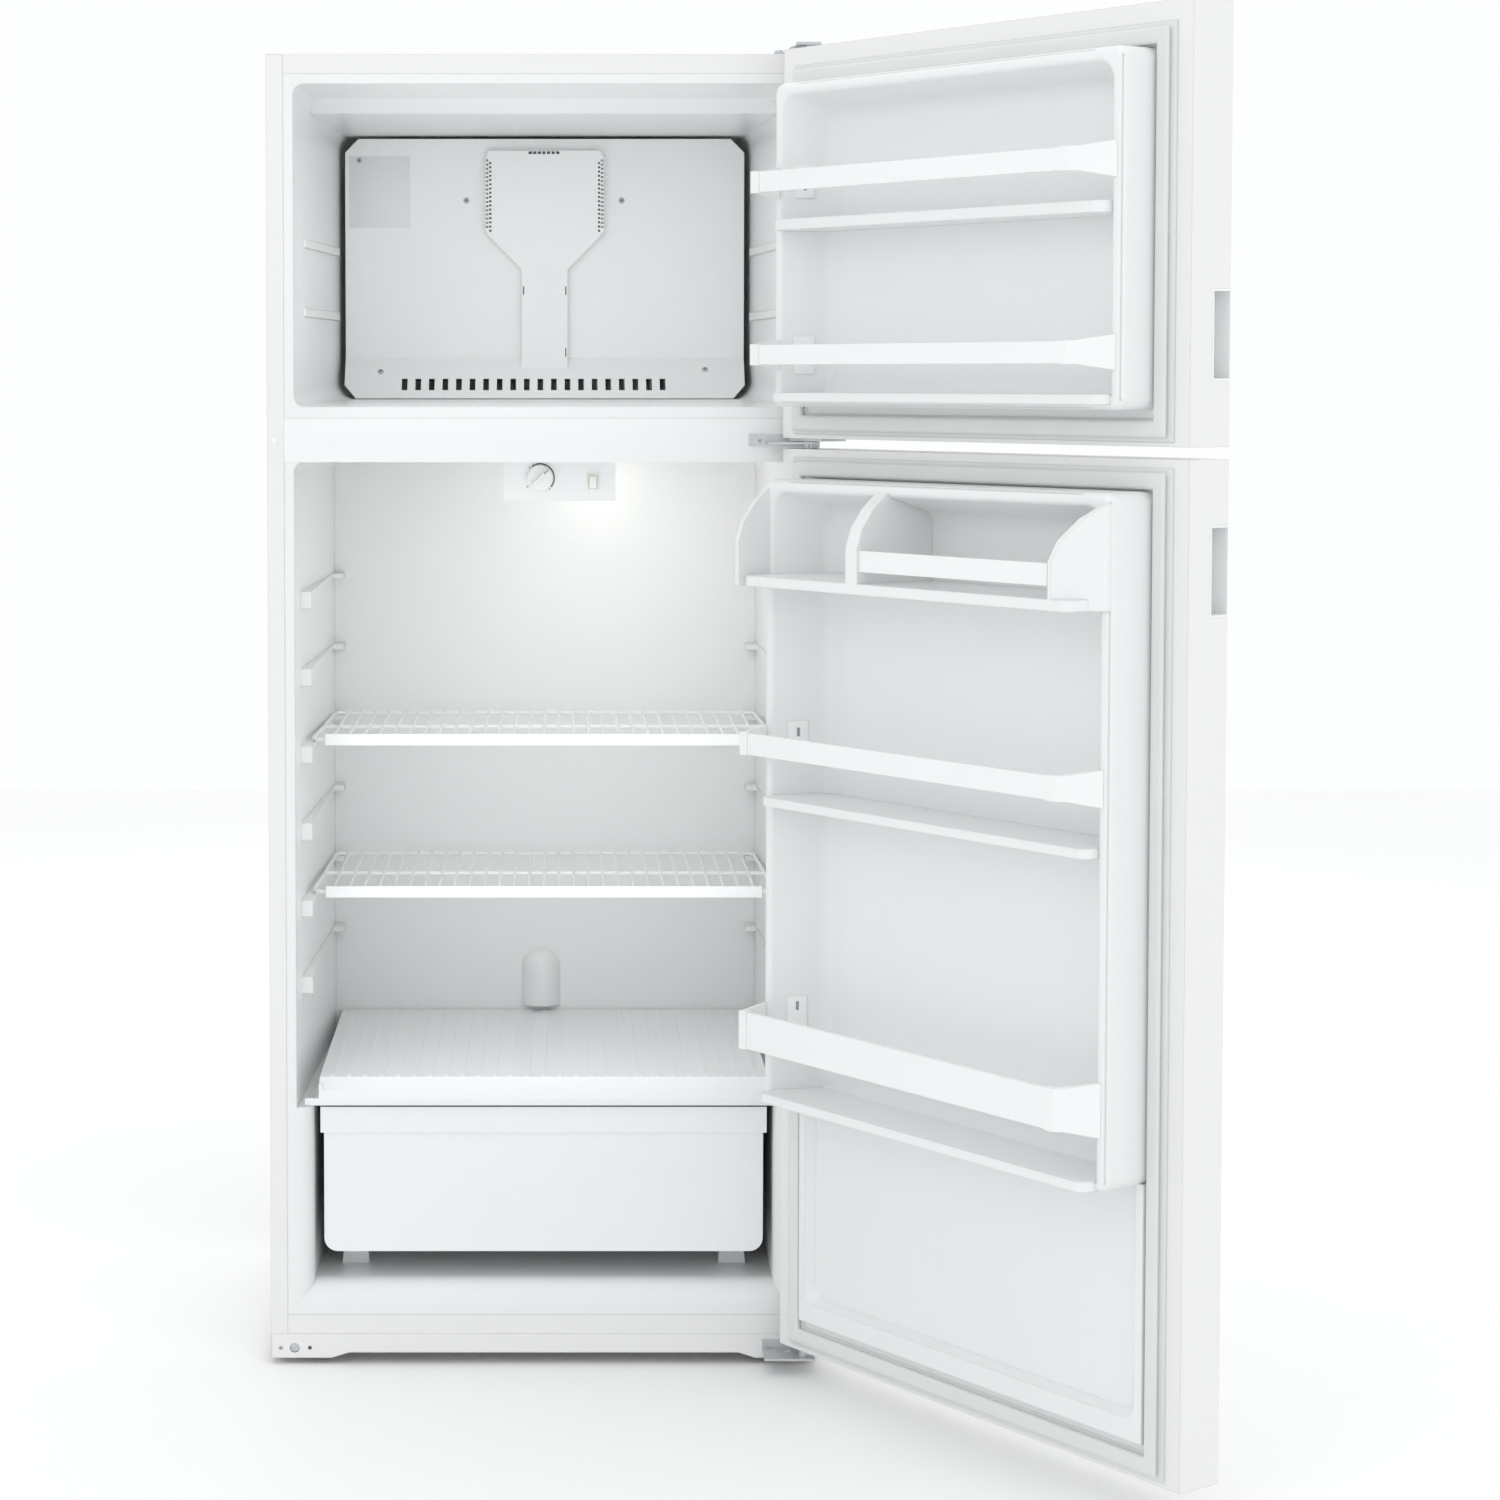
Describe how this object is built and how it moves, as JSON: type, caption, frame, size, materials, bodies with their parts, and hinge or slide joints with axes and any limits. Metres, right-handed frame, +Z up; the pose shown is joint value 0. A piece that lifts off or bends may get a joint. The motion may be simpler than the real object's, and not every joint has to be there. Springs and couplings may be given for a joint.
{
  "type": "top freezer refrigerator",
  "caption": "Upright white refrigerator with a hinged freezer door above a hinged fridge door, shown open, with wire shelves, a crisper drawer and door shelves.",
  "frame": {"origin": "on the floor, under the middle of the cabinet's front edge", "axes": "+Z up, +Y back into the cabinet, +X towards the hinge side, so the doors face -Y"},
  "size_m": [1.121, 1.2232, 1.7095],
  "materials": {
    "white_steel": "smooth white enamel",
    "white_plastic": "smooth white moulding",
    "liner_plastic": "smooth white vacuum-formed sheet",
    "foam": "blown foam",
    "seal": "soft white vinyl",
    "hinge_steel": "plain grey steel",
    "screw_steel": "plated",
    "grey_steel": "zinc plated",
    "white_wire": "white coated wire",
    "drawer_plastic": "translucent white moulding",
    "dark_plastic": "black moulding",
    "roller_plastic": "hard black nylon",
    "black_steel": "black enamel",
    "copper": "bare copper",
    "fins": "bare aluminium",
    "bulb_glass": "clear glass"
  },
  "bodies": {
    "cabinet": {"left_side_panel": "white_steel", "right_side_panel": "white_steel", "top_panel": "white_steel", "back_panel": "grey_steel", "bottom_panel": "white_steel", "kick_panel": "white_steel", "mullion_cover": "white_plastic", "hole_plugs": "white_plastic", "freezer_liner": "liner_plastic", "fridge_liner": "liner_plastic", "foam_insulation": "foam", "evaporator_cover": "white_plastic", "air_duct_cover": "white_plastic", "evaporator_cover_screws": "white_plastic", "evaporator_coil": "fins", "evaporator_fan_motor": "grey_steel", "control_housing": "white_plastic", "thermostat": "dark_plastic", "light_bulb": "bulb_glass", "crisper_cover": "drawer_plastic", "top_hinge": "hinge_steel", "centre_hinge": "hinge_steel", "bottom_hinge": "hinge_steel", "hinge_screws": "screw_steel", "machine_base": "grey_steel", "roller_brackets": "grey_steel", "adjusting_screws": "screw_steel", "compressor": "black_steel", "relay_cover": "dark_plastic", "drain_pan": "dark_plastic", "condenser": "black_steel", "refrigerant_tubes": "copper", "cord_inlet": "dark_plastic"},
    "freezer_door": {"freezer_door_panel": "white_steel", "freezer_door_bushings": "white_plastic", "freezer_handle_insert": "white_plastic", "freezer_door_gasket": "seal", "freezer_door_foam": "foam", "freezer_door_liner": "liner_plastic", "freezer_door_rails": "white_plastic", "freezer_rail_brackets": "white_plastic", "freezer_door_stop": "hinge_steel"},
    "fridge_door": {"fridge_door_panel": "white_steel", "fridge_door_bushings": "white_plastic", "fridge_handle_insert": "white_plastic", "fridge_door_gasket": "seal", "fridge_door_foam": "foam", "fridge_door_liner": "liner_plastic", "fridge_door_rails": "white_plastic", "fridge_rail_brackets": "white_plastic"},
    "evaporator_fan_body": {"evaporator_fan": "dark_plastic"},
    "thermostat_knob_body": {"thermostat_knob": "white_plastic"},
    "light_switch_body": {"light_switch": "white_plastic"},
    "crisper_drawer_body": {"crisper_drawer": "drawer_plastic"},
    "upper_wire_shelf_body": {"upper_wire_shelf": "white_wire"},
    "lower_wire_shelf_body": {"lower_wire_shelf": "white_wire"},
    "front_left_roller_body": {"front_left_roller": "roller_plastic"},
    "front_right_roller_body": {"front_right_roller": "roller_plastic"},
    "rear_left_roller_body": {"rear_left_roller": "roller_plastic"},
    "rear_right_roller_body": {"rear_right_roller": "roller_plastic"}
  },
  "joints": [
    {"name": "freezer_door_hinge", "type": "hinge", "parent": "cabinet", "child": "freezer_door", "pos_m": [0.3375, -0.038, 1.455], "axis": [0, 0, 1], "range_deg": [-125, 2.5]},
    {"name": "fridge_door_hinge", "type": "hinge", "parent": "cabinet", "child": "fridge_door", "pos_m": [0.3375, -0.038, 0.617], "axis": [0, 0, 1], "range_deg": [-125, 2.5]},
    {"name": "crisper_drawer_slide", "type": "slide", "parent": "cabinet", "child": "crisper_drawer_body", "axis": [0, -1, 0], "range_m": [0, 0.25]},
    {"name": "upper_wire_shelf_slide", "type": "slide", "parent": "cabinet", "child": "upper_wire_shelf_body", "axis": [0, -1, 0], "range_m": [0, 0.09]},
    {"name": "lower_wire_shelf_slide", "type": "slide", "parent": "cabinet", "child": "lower_wire_shelf_body", "axis": [0, -1, 0], "range_m": [0, 0.09]},
    {"name": "thermostat_knob_turn", "type": "hinge", "parent": "cabinet", "child": "thermostat_knob_body", "pos_m": [-0.005, 0.12, 1.153], "axis": [0, 1, 0], "range_deg": [-135, 135]},
    {"name": "light_switch_press", "type": "slide", "parent": "cabinet", "child": "light_switch_body", "axis": [0, 1, 0], "range_m": [0, 0.005], "stiffness_N_per_m": 300, "springref_m": -0.004},
    {"name": "evaporator_fan_spin", "type": "hinge", "parent": "cabinet", "child": "evaporator_fan_body", "pos_m": [0, 0.437, 1.538], "axis": [0, 1, 0], "continuous": true},
    {"name": "front_left_roller_spin", "type": "hinge", "parent": "cabinet", "child": "front_left_roller_body", "pos_m": [-0.292, 0.07, 0.018], "axis": [1, 0, 0], "continuous": true},
    {"name": "front_right_roller_spin", "type": "hinge", "parent": "cabinet", "child": "front_right_roller_body", "pos_m": [0.292, 0.07, 0.018], "axis": [1, 0, 0], "continuous": true},
    {"name": "rear_left_roller_spin", "type": "hinge", "parent": "cabinet", "child": "rear_left_roller_body", "pos_m": [-0.316, 0.52, 0.018], "axis": [1, 0, 0], "continuous": true},
    {"name": "rear_right_roller_spin", "type": "hinge", "parent": "cabinet", "child": "rear_right_roller_body", "pos_m": [0.316, 0.52, 0.018], "axis": [1, 0, 0], "continuous": true}
  ]
}
